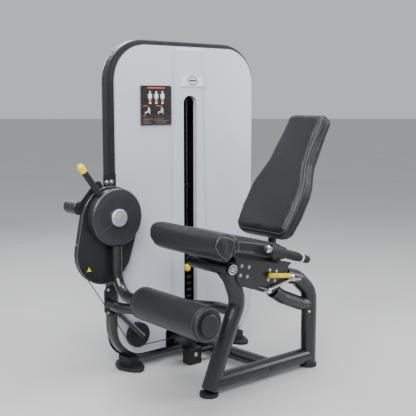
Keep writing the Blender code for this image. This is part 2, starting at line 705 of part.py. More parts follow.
def lever():
    centre = knee()
    rim = DISC_R
    profile = [
        (DISC_Y0, 0.100), (DISC_Y0 + 0.004, rim - 0.006), (DISC_Y0 + 0.010, rim),
        (DISC_Y1 - 0.004, rim), (DISC_Y1, rim - 0.004),
    ]
    disc = lathe("disc_cover", centre, (0, 1, 0), profile, SLATE, 40, centre)
    bore = lathe(
        "disc_bore", centre, (0, 1, 0),
        [(AXLE_Y0 - GAP, AXLE_R + 0.0003), (0.48, AXLE_R + 0.0003)], None, 20,
    )
    boolean(disc, bore)
    hole = rod("plunger_bore", handle_point(0.100), handle_point(0.140), 0.0063, None, 12)
    boolean(disc, hole)
    lathe(
        "disc_cap", centre, (0, -1, 0),
        [(-(DISC_Y0 - GAP), CAP_R), (-CAP_Y0 - 0.0015, CAP_R), (-CAP_Y0, CAP_R - 0.002)],
        STEEL, 32, centre,
    )
    corner = at(KNEE_X + 0.002, LEVER_Y, ROLLER_Z)
    path = fillet(
        [
            at(KNEE_X + 0.002, LEVER_Y, KNEE_Z - 0.10),
            corner,
            at(KNEE_X + 0.002, ROLLER_Y0 - 0.004, ROLLER_Z),
        ],
        LEVER_BEND, 8,
    )
    tube = sweep("lever_tube", path, ring(LEVER_R, 16), CHARCOAL, origin=centre)
    cope = lathe("lever_cope", centre, (0, 1, 0), [(0.40, rim + GAP), (0.47, rim + GAP)], None, 40)
    boolean(tube, cope)
    roller = at(KNEE_X + 0.002, 0.0, ROLLER_Z)
    lathe(
        "roller_pad", roller, (0, 1, 0),
        [
            (ROLLER_Y0, ROLLER_R - 0.014), (ROLLER_Y0 + 0.006, ROLLER_R - 0.004),
            (ROLLER_Y0 + 0.016, ROLLER_R), (ROLLER_Y1 - 0.016, ROLLER_R),
            (ROLLER_Y1 - 0.006, ROLLER_R - 0.004), (ROLLER_Y1, ROLLER_R - 0.014),
        ],
        LEATHER, 28, roller, bore=LEVER_R + 0.0006,
    )
    lathe(
        "roller_cap", roller, (0, -1, 0),
        [(-ROLLER_Y0 + 0.0043, 0.046), (-ROLLER_Y0 + 0.0110, 0.046), (-ROLLER_Y0 + 0.0145, 0.040)],
        SATIN_BLACK, 24, centre,
    )


def handle_direction():
    return Vector((-0.592, 0.0, 0.806)).normalized()


def handle_point(reach):
    return at(KNEE_X, 0.441, KNEE_Z) + handle_direction() * reach


def handle():
    """Sprung plunger that frees the lever from the cam."""
    start = handle_point(0.108)
    lathe(
        "plunger_rod", start, handle_direction(),
        [(0, 0.006), (0.0285, 0.006), (0.0285, 0.0150), (0.160, 0.0150)], SATIN_BLACK, 16, start,
    )
    lathe(
        "plunger_grip", start + handle_direction() * (0.160 + GAP), handle_direction(),
        [(0, 0.0165), (0.030, 0.0165), (0.037, 0.013), (0.041, 0.007)], YELLOW, 16, start,
    )


# ---------------------------------------------------------------- seat frame

LEG_A = [
    (0.168, 0, 0.026), (0.248, 0, 0.213), (0.298, 0, 0.324), (0.338, 0, 0.405),
    (0.291, 0, 0.521), (0.246, 0, 0.574),
]
FOOT_TOP = 0.0175
LEG_B = [(0.806, 0, FOOT_TOP + GAP), (0.806, 0, 0.380), (0.712, 0, 0.462), (0.628, 0, 0.486)]
CROSS = [(0.188, 0, 0.056), (0.806, 0, 0.056)]
BRACE = [(0.806, 0, 0.318), (0.740, 0, 0.328), (0.613, 0, 0.382), (0.555, 0, 0.420)]
BASE = [(0.550, 0, 0.056), (0.550, 0.555, 0.038)]
FRONT_ARM = [
    (-0.030, 0.508, 0.350), (-0.030, 0.400, 0.350), (0.060, 0.305, 0.352),
    (0.235, 0.235, 0.358), (0.310, 0.120, 0.360), (0.314, 0.000, 0.361),
]
FRONT_BAR = [(0.246, -0.056, 0.574), (0.246, 0.215, 0.574)]
BAR_R, BASE_R = 0.033, 0.032


def points(path):
    return [at(*p) for p in path]


def cope(obj, name, path, radius, bend=0.10):
    """Cut the end of a tube to the surface of the tube it is welded to."""
    sides = 24
    clear = (radius + GAP) / math.cos(math.pi / sides)
    cutter = sweep(name, fillet(points(path), bend, 5), ring(clear, sides), None)
    boolean(obj, cutter)


def seat_frame():
    leg_a = sweep("leg_front", fillet(points(LEG_A), 0.10, 5), ring(FRAME_R, 20), CHARCOAL)
    cope(leg_a, "leg_front_cope", FRONT_BAR, BAR_R)
    foot_cut = box("leg_front_cut", (0.05, -0.1, -0.05), (0.30, 0.1, FOOT_TOP + GAP), None)
    boolean(leg_a, foot_cut)
    leg_b = sweep("leg_rear", fillet(points(LEG_B), 0.10, 5), ring(FRAME_R, 20), CHARCOAL)
    cross = sweep("cross_tube", points(CROSS), ring(FRAME_R, 20), CHARCOAL)
    cope(cross, "cross_cope_front", LEG_A, FRAME_R)
    cope(cross, "cross_cope_rear", [(0.806, 0, -0.05)] + LEG_B[1:], FRAME_R)
    for i, x in enumerate((0.511, 0.534)):
        hole = rod("cross_hole_%d" % i, at(x, -0.06, 0.056), at(x, -0.02, 0.056), 0.005, None, 12)
        boolean(cross, hole)
    brace = sweep("brace", fillet(points(BRACE), 0.10, 4), ring(0.034, 20), CHARCOAL)
    cope(brace, "brace_cope_rear", LEG_B, FRAME_R)
    base = sweep("base_tube", points(BASE), ring(BASE_R, 16), CHARCOAL)
    cope(base, "base_cope_cross", CROSS, FRAME_R)
    half = 0.5 * TUBE_THIN
    y = 0.5 * (TOWER_Y0 + TOWER_Y1)
    bar = [at(x, y, TOWER_BOTTOM + half) for x in (0.35, 0.75)]
    section = flat_oval(TUBE_THIN + 2 * GAP, TUBE_DEEP + 2 * GAP, 4)
    boolean(base, sweep("base_cope_tower", bar, section, None, normal=(0, 1, 0)))
    far = box("base_far_cut", (0.40, 0.5350, 0.0), (0.70, 0.70, 0.20), None)
    boolean(base, far)
    arm = sweep("front_arm", fillet(points(FRONT_ARM), 0.09, 5), ring(0.025, 16), CHARCOAL)
    cope(arm, "arm_cope_leg", LEG_A, FRAME_R)
    flange = [(-0.0525 + 0.065 * px, pz) for px, pz in (
        (0.0, 0.315), (0.25, 0.292), (0.75, 0.292), (1.0, 0.315),
        (1.0, 0.415), (0.75, 0.438), (0.25, 0.438), (0.0, 0.415),
    )]
    boolean(arm, plate("arm_flange", flange, 0.5030, TOWER_Y0 - GAP, None), "UNION")
    reach = points([(-0.026, 0.493, 0.345), (0.118, 0.4390, 0.178)])
    stay = sweep("pulley_stay", reach, ring(0.013, 12), None)
    boolean(arm, stay, "UNION")
    x, y, z = FRONT_PULLEY["centre"]
    boolean(arm, rod("pulley_stay_pin", at(x, y - 0.045, z), at(x, y + 0.014, z), PIN, None, 12), "UNION")
    front_bar = sweep("front_bar", points(FRONT_BAR), ring(BAR_R, 20), CHARCOAL)
    cap = lathe(
        "front_bar_cap", at(0.246, -0.054, 0.574), (0, -1, 0),
        [(0, 0.0265), (0.006, 0.0265), (0.009, 0.0180), (0.014, 0.0170)], None, 20,
    )
    boolean(front_bar, cap, "UNION")
    for name, x, low in (("leg_front_foot", 0.166, 0.0), ("leg_rear_foot", 0.806, 0.0)):
        sole = [(0, 0.0415), (0.004, 0.0435), (FOOT_TOP, 0.0425)]
        lathe(name, at(x, 0, low), (0, 0, 1), sole, RUBBER, 24)
    bracket = box("base_bracket", (0.345, 0.365, 0.0), (0.423, 0.425, 0.085), SATIN_BLACK)
    bevel(bracket, 0.004, 1)
    tongue = box("bracket_tongue", (0.420, 0.380, 0.045), (0.5157, 0.412, 0.060), None)
    boolean(bracket, tongue, "UNION")
    x, y, z = IDLER["centre"]
    boolean(bracket, box("idler_arm", (0.352, 0.395, 0.080), (0.378, 0.435, 0.105), None), "UNION")
    boolean(bracket, rod("idler_pin", at(x, y, 0.100), at(x, y, z + 0.011), PIN, None, 12), "UNION")
    cope(bracket, "bracket_cope", BASE, BASE_R)


SIDE_OUTLINE = [
    (0.274, 0.6280), (0.283, 0.600), (0.290, 0.518), (0.314, 0.482), (0.381, 0.468),
    (0.418, 0.448), (0.469, 0.430), (0.507, 0.419), (0.546, 0.437), (0.592, 0.459),
    (0.617, 0.537), (0.636, 0.548), (0.623, 0.555), (0.583, 0.565), (0.398, 0.603),
]


def side_plates():
    for name, side in (("side_plate_near", -1), ("side_plate_far", 1)):
        y0, y1 = sorted((side * (PLATE_Y0 + GAP), side * PLATE_Y1))
        bevel(plate(name, SIDE_OUTLINE, y0, y1, CHARCOAL), 0.0008, 1)
    under = [(0.130, 0.6825), (0.400, 0.6183), (0.400, 0.6030), (0.274, 0.6285), (0.130, 0.6650)]
    base = plate("seat_base", under, -0.200, 0.200, SATIN_BLACK)
    lift = Vector((0.0, 0.0, GAP))
    base.location = base.location + lift


def pad(name, outline, half, look, width):
    made = plate(name, outline, -half, half, look)
    return bevel(made, width, 3, 50.0)


def seat():
    outline = [
        (0.004, 0.735), (0.012, 0.757), (0.033, 0.769), (0.066, 0.766), (0.131, 0.747),
        (0.256, 0.720), (0.385, 0.686), (0.405, 0.675), (0.416, 0.655), (0.408, 0.632),
        (0.382, 0.6242), (0.122, 0.6861), (0.098, 0.665), (0.067, 0.655), (0.036, 0.668),
        (0.012, 0.700),
    ]
    pad("seat_pad", outline, SEAT_HALF, LEATHER, 0.014)


BACK_LOW, BACK_HIGH = (0.444, 0.7075), (0.764, 1.242)
BACK_STATIONS = [
    (0.000, 0.126, 0.028), (0.010, 0.148, 0.052), (0.034, 0.169, 0.066), (0.120, 0.1800, 0.070),
    (0.225, 0.1790, 0.070), (0.275, 0.1700, 0.070), (0.325, 0.1500, 0.070), (0.375, 0.1330, 0.070),
    (0.495, 0.1230, 0.070), (0.610, 0.1180, 0.066), (0.628, 0.112, 0.052), (0.637, 0.100, 0.028),
]


def back_axes():
    low, high = at(BACK_LOW[0], 0, BACK_LOW[1]), at(BACK_HIGH[0], 0, BACK_HIGH[1])
    along = (high - low).normalized()
    behind = Vector((along.z, 0, -along.x))
    return low, along, behind


def backrest():
    low, along, behind = back_axes()
    loops = []
    for run, half, thick in BACK_STATIONS:
        middle = low + along * run + behind * 0.035
        corner = min(0.016, 0.45 * thick)
        outline = round_rect(-half, half, -0.5 * thick, 0.5 * thick, corner, corner, 3)
        loops.append([middle + Vector((0, a, 0)) + behind * b for a, b in outline])
    loft("back_pad", loops, LEATHER)
    board = []
    for depth in (0.0703, 0.0763):
        middle = low + behind * depth
        board.append([
            middle + along * run + Vector((0, side, 0))
            for run, side in ((0.045, -0.120), (0.045, 0.120), (0.300, 0.105), (0.520, 0.070),
                              (0.520, -0.070), (0.300, -0.105))
        ])
    knee_point = low + behind * 0.0940 + along * 0.060
    top = low + behind * 0.0940 + along * 0.330
    path = fillet([at(0.524, 0, 0.505), knee_point, top], 0.08, 5)
    post = sweep("back_post", path, ring(0.020, 14), CHARCOAL)
    carriage = box("back_carriage", (0.486, -0.036, 0.494), (0.554, 0.036, 0.526), None)
    boolean(post, carriage, "UNION")
    boolean(post, loft("back_board", board, None), "UNION")


def grips():
    """Hand grips beside the seat with the bars that carry them."""
    for name, side in (("near", -1), ("far", 1)):
        y = side * GRIP_Y
        start, end = at(0.283, y, 0.687), at(0.515, y, 0.614)
        axis = (end - start).normalized()
        sleeve = lathe(
            "grip_" + name, start, axis,
            [
                (0, 0.024), (0.004, 0.027), (0.075, 0.027), (0.085, 0.0175), (0.130, 0.0190),
                (0.188, 0.0160), (0.190, 0.0190), (0.232, 0.0170), (0.242, 0.0100),
            ], RUBBER, 20,
        )
        lathe(
            "grip_knob_" + name, start - axis * GAP, -axis,
            [(0, 0.0150), (0.012, 0.0150), (0.020, 0.0165), (0.028, 0.0120)], CHROME, 16,
        )
        path = fillet(
            [at(0.330, y, 0.660), at(0.330, y, 0.6265), at(0.330, side * (0.200 + GAP), 0.6265)], 0.012, 3,
        )
        boolean(sleeve, sweep("grip_arm_" + name, path, ring(0.0085, 10), None), "UNION")


def adjuster():
    """Release lever on the near side plate, with its yellow handle."""
    y = -0.0600
    pivot = at(0.466, y, 0.446)
    start, end = at(0.474, y, 0.5145), at(0.609, y, 0.4945)
    along = (end - start).normalized()
    path = fillet(
        [pivot, at(0.628, y, 0.478), at(0.638, y, 0.4902), end + along * GAP], 0.006, 3,
    )
    bar = sweep("release_bar", path, ring(0.0060, 10), CHROME, origin=pivot)
    hub = lathe("release_hub", pivot, (0, 1, 0), [(-0.010, 0.013), (0.0162, 0.013)], None, 16)
    boolean(bar, hub, "UNION")
    tail = rod("release_tail", at(0.612, y, 0.4760), at(0.679, y, 0.4680), 0.0065, None, 10)
    boolean(bar, tail, "UNION")
    lathe(
        "release_grip", start, along,
        [
            (0, 0.008), (0.003, 0.0115),
            ((end - start).length - 0.003, 0.0115), ((end - start).length, 0.008),
        ],
        YELLOW, 14, pivot,
    )


def build():
    tower()
    shrouds()
    stack()
    pulleys()
    cable()
    knee_guard()
    mounts()
    cam()
    lever()
    handle()
    seat_frame()
    side_plates()
    seat()
    backrest()
    grips()
    adjuster()


build()
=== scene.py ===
"""Leg extension machine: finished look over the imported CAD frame."""
import math

import bmesh
import bpy
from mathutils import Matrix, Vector
from mathutils.bvhtree import BVHTree


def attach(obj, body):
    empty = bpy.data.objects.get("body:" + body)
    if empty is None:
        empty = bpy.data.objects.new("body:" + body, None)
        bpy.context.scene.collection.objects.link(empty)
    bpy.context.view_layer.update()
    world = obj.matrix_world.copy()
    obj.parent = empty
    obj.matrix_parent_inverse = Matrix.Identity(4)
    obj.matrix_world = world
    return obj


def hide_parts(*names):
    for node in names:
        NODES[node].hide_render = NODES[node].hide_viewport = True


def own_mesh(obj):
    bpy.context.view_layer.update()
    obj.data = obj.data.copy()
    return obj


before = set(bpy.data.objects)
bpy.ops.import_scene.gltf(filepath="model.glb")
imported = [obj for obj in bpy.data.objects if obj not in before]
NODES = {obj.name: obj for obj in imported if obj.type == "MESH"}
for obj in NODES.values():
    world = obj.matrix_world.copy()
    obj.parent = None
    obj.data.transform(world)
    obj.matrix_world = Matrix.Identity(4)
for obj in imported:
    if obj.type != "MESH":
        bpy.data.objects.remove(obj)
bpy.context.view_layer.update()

CENTRE_X, CENTRE_Y = 0.34045, 0.21425
TAU = 2.0 * math.pi


def at(x, y, z):
    """Point of the frame for plan coordinates measured from seat plane and tower edge."""
    return Vector((x - CENTRE_X, y - CENTRE_Y, z))


# ------------------------------------------------------------------ materials

class Look:
    """Small helper that wires a Principled material."""

    def __init__(self, name, rough=0.5, metal=0.0, coat=0.0, sheen=0.0, specular=0.5):
        self.made = bpy.data.materials.new(name)
        self.made.use_nodes = True
        self.tree = self.made.node_tree
        self.shader = self.tree.nodes["Principled BSDF"]
        self.shader.inputs["Roughness"].default_value = rough
        self.shader.inputs["Metallic"].default_value = metal
        self.shader.inputs["Coat Weight"].default_value = coat
        self.shader.inputs["Coat Roughness"].default_value = 0.12
        self.shader.inputs["Sheen Weight"].default_value = sheen
        self.shader.inputs["Sheen Roughness"].default_value = 0.5
        self.shader.inputs["Specular IOR Level"].default_value = specular
        self.coords = self.tree.nodes.new("ShaderNodeTexCoord")
        self.height = None

    def link(self, a, b):
        self.tree.links.new(a, b)

    def noise(self, scale, detail=3.0, stretch=None, rough=0.55):
        node = self.tree.nodes.new("ShaderNodeTexNoise")
        node.inputs["Scale"].default_value = scale
        node.inputs["Detail"].default_value = detail
        node.inputs["Roughness"].default_value = rough
        self.feed(node, stretch)
        return node.outputs["Fac"]

    def cells(self, scale, feature="F1", stretch=None):
        node = self.tree.nodes.new("ShaderNodeTexVoronoi")
        node.feature = feature
        node.inputs["Scale"].default_value = scale
        self.feed(node, stretch)
        return node.outputs["Distance"]

    def feed(self, node, stretch):
        source = self.coords.outputs["Object"]
        if stretch:
            mapping = self.tree.nodes.new("ShaderNodeMapping")
            mapping.inputs["Scale"].default_value = stretch
            self.link(source, mapping.inputs["Vector"])
            source = mapping.outputs["Vector"]
        self.link(source, node.inputs["Vector"])

    def ramp(self, fac, stops):
        node = self.tree.nodes.new("ShaderNodeValToRGB")
        ramp = node.color_ramp
        while len(ramp.elements) < len(stops):
            ramp.elements.new(0.5)
        for element, (spot, colour) in zip(ramp.elements, stops):
            element.position = spot
            element.color = (*colour, 1.0)
        self.link(fac, node.inputs["Fac"])
        return node.outputs["Color"]

    def colour(self, fac, stops):
        self.link(self.ramp(fac, stops), self.shader.inputs["Base Color"])
        return self

    def roughness(self, fac, low, high, start=0.3, end=0.7):
        grey = self.ramp(fac, [(start, (low,) * 3), (end, (high,) * 3)])
        self.link(grey, self.shader.inputs["Roughness"])
        return self

    def bump(self, height, distance, strength=1.0):
        node = self.tree.nodes.new("ShaderNodeBump")
        node.inputs["Strength"].default_value = strength
        node.inputs["Distance"].default_value = distance
        self.link(height, node.inputs["Height"])
        if self.height:
            self.link(self.height, node.inputs["Normal"])
        self.height = node.outputs["Normal"]
        self.link(self.height, self.shader.inputs["Normal"])
        return self


def scaled(colour, factor):
    return tuple(min(1.0, c * factor) for c in colour)


def powder(name, colour, rough=0.34, coat=0.35):
    """Powder coat: fine orange peel and slight unevenness of gloss."""
    look = Look(name, rough, 0.0, coat)
    look.colour(look.noise(9.0), [(0.3, scaled(colour, 0.88)), (0.7, scaled(colour, 1.14))])
    look.roughness(look.noise(28.0), rough - 0.02, rough + 0.04)
    look.bump(look.noise(420.0, 2.0), 0.00003, 0.05)
    return look.made


def metallic_paint(name, colour):
    look = Look(name, 0.36, 0.15, 0.25)
    look.colour(look.noise(5.0), [(0.3, scaled(colour, 0.975)), (0.7, scaled(colour, 1.02))])
    look.roughness(look.noise(600.0, 1.0), 0.33, 0.42)
    look.bump(look.noise(1400.0, 1.0), 0.0001, 0.2)
    return look.made


def hammered(name, colour):
    """Mottled hammer paint over cast iron."""
    look = Look(name, 0.5, 0.0, 0.2)
    blot = look.cells(260.0)
    look.colour(blot, [(0.15, scaled(colour, 0.55)), (0.65, scaled(colour, 1.7))])
    look.roughness(look.noise(120.0), 0.38, 0.62)
    look.bump(blot, 0.0012, 0.6)
    return look.made


def bare_metal(name, colour, rough, grain, stretch=(1.0, 1.0, 1.0)):
    look = Look(name, rough, 1.0)
    streak = look.noise(grain, 4.0, stretch)
    look.colour(streak, [(0.3, scaled(colour, 0.9)), (0.7, scaled(colour, 1.05))])
    look.roughness(streak, max(0.04, rough - 0.06), rough + 0.10)
    look.bump(streak, 0.0001, 0.15)
    return look.made


def plastic(name, colour, rough=0.45, grain=500.0, depth=0.0002):
    look = Look(name, rough)
    look.colour(look.noise(14.0), [(0.3, scaled(colour, 0.92)), (0.7, scaled(colour, 1.08))])
    look.roughness(look.noise(60.0), rough - 0.06, rough + 0.06)
    look.bump(look.noise(grain, 2.0), depth, 0.4)
    return look.made


def leather(name, colour):
    """Synthetic leather: pebble grain, soft creases, low sheen."""
    look = Look(name, 0.42, 0.0, 0.0, 0.04, 0.36)
    grain = look.cells(620.0, "DISTANCE_TO_EDGE")
    look.colour(look.noise(7.0, 5.0), [(0.25, scaled(colour, 0.93)), (0.75, scaled(colour, 1.08))])
    look.roughness(look.noise(40.0, 4.0), 0.36, 0.50)
    look.bump(grain, 0.0004, 0.5)
    look.bump(look.noise(24.0, 4.0), 0.0008, 0.12)
    return look.made


CHARCOAL = powder("charcoal_powder_coat", (0.0078, 0.0084, 0.0098), 0.27, 0.30)
GUARD_BLACK = powder("guard_powder_coat", (0.0105, 0.012, 0.0155), 0.42, 0.05)
MATT_BLACK = powder("matt_black_coat", (0.0065, 0.0065, 0.007), 0.48, 0.0)
SILVER = metallic_paint("silver_paint", (0.56, 0.60, 0.67))
IRON = hammered("hammer_paint", (0.0075, 0.0075, 0.008))
CHROME = bare_metal("polished_chrome", (0.78, 0.79, 0.81), 0.10, 90.0)
STEEL = bare_metal("brushed_steel", (0.80, 0.81, 0.83), 0.42, 160.0, (1.0, 1.0, 14.0))
BOLT = bare_metal("zinc_plate", (0.60, 0.60, 0.60), 0.28, 300.0)
SLATE = plastic("slate_moulding", (0.022, 0.025, 0.031), 0.36, 700.0)
NYLON = plastic("black_nylon", (0.007, 0.007, 0.008), 0.40)
SHEATH = plastic("rope_sheath", (0.012, 0.012, 0.013), 0.35)
RUBBER = plastic("moulded_rubber", (0.009, 0.009, 0.0095), 0.60, 900.0, 0.0004)
YELLOW = plastic("yellow_plastic", (0.93, 0.66, 0.0), 0.38, 500.0, 0.0001)
HIDE = leather("black_leather", (0.0095, 0.0105, 0.0125))
THREAD = plastic("sewing_thread", (0.25, 0.25, 0.26), 0.6, 1500.0)
PIPING = leather("piping_leather", (0.007, 0.0075, 0.009))
PANEL = plastic("placard_film", (0.012, 0.010, 0.010), 0.30)
PANEL_RIM = plastic("placard_rim", (0.20, 0.20, 0.21), 0.4)
BROWN = plastic("placard_band", (0.024, 0.013, 0.011), 0.35)
ORANGE = plastic("placard_orange", (0.70, 0.12, 0.04), 0.45)
PALE = plastic("placard_white", (0.72, 0.72, 0.70), 0.45)
PLATE_WHITE = plastic("badge_face", (0.70, 0.71, 0.72), 0.35)
# Near-black sheet set behind the slot: painted shade inside the tower.
WELL_SHADE = plastic("stack_well_painted_shade", (0.006, 0.006, 0.007), 0.8)

CAD_LOOKS = {
    CHARCOAL: (
        "tower_loop knee_carrier leg_front leg_rear cross_tube brace base_tube front_arm "
        "front_bar side_plate_near side_plate_far stack_base stack_head lever_tube back_post top_plate"
    ),
    GUARD_BLACK: "knee_guard",
    MATT_BLACK: "counter_arm base_bracket seat_base plunger_rod",
    IRON: "resting_plates weight_plate_10 weight_plate_11 weight_plate_12 counterweight",
    SILVER: "shroud_front shroud_rear",
    CHROME: "guide_rod_left guide_rod_right selector_pin grip_knob_near grip_knob_far release_bar",
    STEEL: "cam disc_cap",
    NYLON: "guard_pulley front_pulley idler_wheel entry_pulley rise_pulley top_pulley roller_cap",
    SHEATH: "cable cable_drop",
    SLATE: "disc_cover",
    RUBBER: "foot_front foot_rear leg_front_foot leg_rear_foot grip_near grip_far",
    YELLOW: "pin_knob plunger_grip release_grip",
    PANEL: "placard",
    PLATE_WHITE: "badge",
}
for made, names in CAD_LOOKS.items():
    for name in names.split():
        mesh = NODES[name].data
        mesh.materials.clear()
        mesh.materials.append(made)
        mesh.shade_smooth()
        mesh.set_sharp_from_angle(angle=math.radians(38.0))


# ------------------------------------------------------------------ mesh tools

def piece(name, bm, look, body="frame", smooth=True):
    bmesh.ops.recalc_face_normals(bm, faces=bm.faces)
    mesh = bpy.data.meshes.new(name)
    bm.to_mesh(mesh)
    bm.free()
    obj = bpy.data.objects.new(name, mesh)
    bpy.context.scene.collection.objects.link(obj)
    mesh.materials.append(look)
    if smooth:
        mesh.shade_smooth()
        mesh.set_sharp_from_angle(angle=math.radians(40.0))
    if body:
        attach(obj, body)
    return obj


def skin(bm, loops, cap_start=True, cap_end=True):
    rings = [[bm.verts.new(p) for p in loop] for loop in loops]
    for low, high in zip(rings, rings[1:]):
        for k in range(len(low)):
            n = (k + 1) % len(low)
            bm.faces.new((low[k], low[n], high[n], high[k]))
    if cap_start:
        bm.faces.new(rings[0])
    if cap_end:
        bm.faces.new(rings[-1])
    return rings


def turned(bm, centre, axis, profile, sides=24):
    axis = Vector(axis).normalized()
    side = axis.orthogonal().normalized()
    other = axis.cross(side)
    loops = []
    for along, radius in profile:
        middle = centre + axis * along
        loops.append([
            middle + (side * math.cos(TAU * k / sides) + other * math.sin(TAU * k / sides)) * radius
            for k in range(sides)
        ])
    skin(bm, loops)


def tube(bm, path, radius, sides=8, closed=False):
    """Round section along a polyline."""
    path = [Vector(p) for p in path]
    count = len(path)
    rings = []
    up = None
    for i, point in enumerate(path):
        if closed:
            along = (path[(i + 1) % count] - path[i - 1]).normalized()
        else:
            along = (path[min(i + 1, count - 1)] - path[max(i - 1, 0)]).normalized()
        up = along.orthogonal().normalized() if up is None else (up - along * up.dot(along)).normalized()
        side = along.cross(up)
        rings.append([
            bm.verts.new(point + (up * math.cos(TAU * k / sides) + side * math.sin(TAU * k / sides)) * radius)
            for k in range(sides)
        ])
    bands = count if closed else count - 1
    for i in range(bands):
        low, high = rings[i], rings[(i + 1) % count]
        for k in range(sides):
            n = (k + 1) % sides
            bm.faces.new((low[k], low[n], high[n], high[k]))
    if not closed:
        bm.faces.new(rings[0])
        bm.faces.new(rings[-1])


def slab(bm, outline, y0, y1):
    """(x, z) outline between two planes of constant y."""
    skin(bm, [[at(x, y, z) for x, z in outline] for y in (y0, y1)])


def rounded(x0, x1, z0, z1, r, steps=4):
    out = []
    for cx, cz, start in (
        (x1 - r, z1 - r, 0.0), (x0 + r, z1 - r, 90.0), (x0 + r, z0 + r, 180.0), (x1 - r, z0 + r, 270.0),
    ):
        for k in range(steps + 1):
            a = math.radians(start + 90.0 * k / steps)
            out.append((cx + r * math.cos(a), cz + r * math.sin(a)))
    return out


# ------------------------------------------------------------------ fasteners

def bolts(name, spots, axis, radius, body="frame", look=BOLT, rise=0.6):
    """Button heads with a washer and a hex socket."""
    bm = bmesh.new()
    r = radius
    profile = [
        (0.0, 1.35 * r), (0.16 * r, 1.35 * r), (0.17 * r, 1.02 * r), (0.48 * r, 0.98 * r),
        (0.74 * r, 0.80 * r), (0.86 * r, 0.52 * r), (0.84 * r, 0.44 * r), (0.42 * r, 0.42 * r),
    ]
    profile = [(along * rise, away) for along, away in profile]
    for spot in spots:
        turned(bm, at(*spot), axis, profile, 18)
    return piece(name, bm, look, body)


SIDE_FACE = -0.0435
bolts(
    "side_plate_bolts",
    [
        (x, SIDE_FACE, z) for x, z in (
            (0.320, 0.577), (0.363, 0.566), (0.312, 0.535), (0.353, 0.524),
            (0.494, 0.533), (0.536, 0.522), (0.484, 0.491), (0.526, 0.480),
        )
    ],
    (0, -1, 0), 0.0062,
)
bolts("leg_screw", [(0.272, -0.0378, 0.545)], (0, -1, 0), 0.0045)
bolts("carrier_bolts", [(-0.030, 0.5078, 0.930), (-0.004, 0.5078, 0.930)], (0, -1, 0), 0.0080)
bolts("flange_bolts", [(-0.036, 0.5028, 0.419), (-0.036, 0.5028, 0.309)], (0, -1, 0), 0.0060)
bolts("bracket_bolt", [(0.384, 0.3648, 0.050)], (0, -1, 0), 0.0085)
bolts("guard_screw", [(-0.212, 0.4800, 0.660)], (-1, 0, 0), 0.0035)
bolts("leg_rear_screws", [(0.7805, -0.0275, 0.330), (0.7805, -0.0275, 0.285)], (-0.70, -0.71, 0), 0.0045)


# ------------------------------------------------------------------ knee disc and guard

def disc_ribs():
    bm = bmesh.new()
    centre = at(-0.030, 0.4100, 0.775)
    for degrees in (94.0, 269.0, 214.0, 30.0):
        a = math.radians(degrees)
        out = Vector((math.cos(a), 0.0, math.sin(a)))
        side = Vector((-math.sin(a), 0.0, math.cos(a)))
        loops = []
        for reach, half, rise in ((0.044, 0.0009, 0.0006), (0.108, 0.0008, 0.0005), (0.119, 0.0003, 0.0002)):
            middle = centre + out * reach
            loops.append([
                middle - side * half + Vector((0, 0.0004, 0)),
                middle - side * half * 0.5 - Vector((0, rise, 0)),
                middle + side * half * 0.5 - Vector((0, rise, 0)),
                middle + side * half + Vector((0, 0.0004, 0)),
            ])
        skin(bm, loops)
    # Ribs lighter than the disc cover: painted highlight along the ridge tops.
    return piece("disc_ribs", bm, plastic("rib_painted_highlight", (0.050, 0.054, 0.062), 0.45), "lever")


disc_ribs()


def cap_ring():
    """Shallow turned rings on the pivot cap."""
    bm = bmesh.new()
    centre = at(-0.030, 0.3990, 0.775)
    profile = [(0.0, 0.0385)]
    for k in range(5):
        r = 0.0375 - 0.0070 * k
        step = 0.0004 * k
        profile += [(0.0006 + step, r), (0.0002 + step, r - 0.0012), (0.0008 + step, r - 0.0024)]
    turned(bm, centre, (0, -1, 0), profile, 40)
    return piece("pivot_cap_face", bm, STEEL, "lever")


cap_ring()


def convex_outline(circles, steps=48):
    spots = sorted(
        (x + r * math.cos(TAU * k / steps), z + r * math.sin(TAU * k / steps))
        for x, z, r in circles
        for k in range(steps)
    )
    outline = []
    for order in (spots, spots[::-1]):
        chain = []
        for p in order:
            while len(chain) > 1:
                (ax, az), (bx, bz) = chain[-2], chain[-1]
                if (bx - ax) * (p[1] - az) - (bz - az) * (p[0] - ax) > 1e-9:
                    break
                chain.pop()
            chain.append(p)
        outline += chain[:-1]
    return outline


def guard_trim():
    bm = bmesh.new()
    lobes = [(-0.034, 0.760, 0.1530), (-0.073, 0.608, 0.1450)]
    # Rim bead: the low roughness and coat are real gloss, and the lighter colour than the guard is painted
    # highlight along the edge.
    tube(bm, [at(x, 0.4672, z) for x, z in convex_outline(lobes)], 0.0030, 10, closed=True)
    piece("guard_rim", bm, powder("rim_gloss_painted_highlight", (0.05, 0.052, 0.058), 0.2, 0.8))
    bm = bmesh.new()
    cx, cz, size = -0.158, 0.538, 0.0135
    corners = []
    for degrees in (90.0, 210.0, 330.0):
        for turn in (40.0, 0.0, -40.0):
            a, b = math.radians(degrees), math.radians(degrees + turn)
            corners.append((
                cx + size * math.cos(a) + 0.002 * math.cos(b), cz + size * math.sin(a) + 0.002 * math.sin(b),
            ))
    slab(bm, corners[::-1], 0.4660, 0.4668)
    piece("guard_marker", bm, YELLOW, smooth=False)


guard_trim()


# ------------------------------------------------------------------ tower front

def flat_pieces(name, outlines, face_y, depth, look):
    bm = bmesh.new()
    for outline in outlines:
        slab(bm, outline, face_y - depth, face_y + 0.0003)
    return piece(name, bm, look, smooth=False)


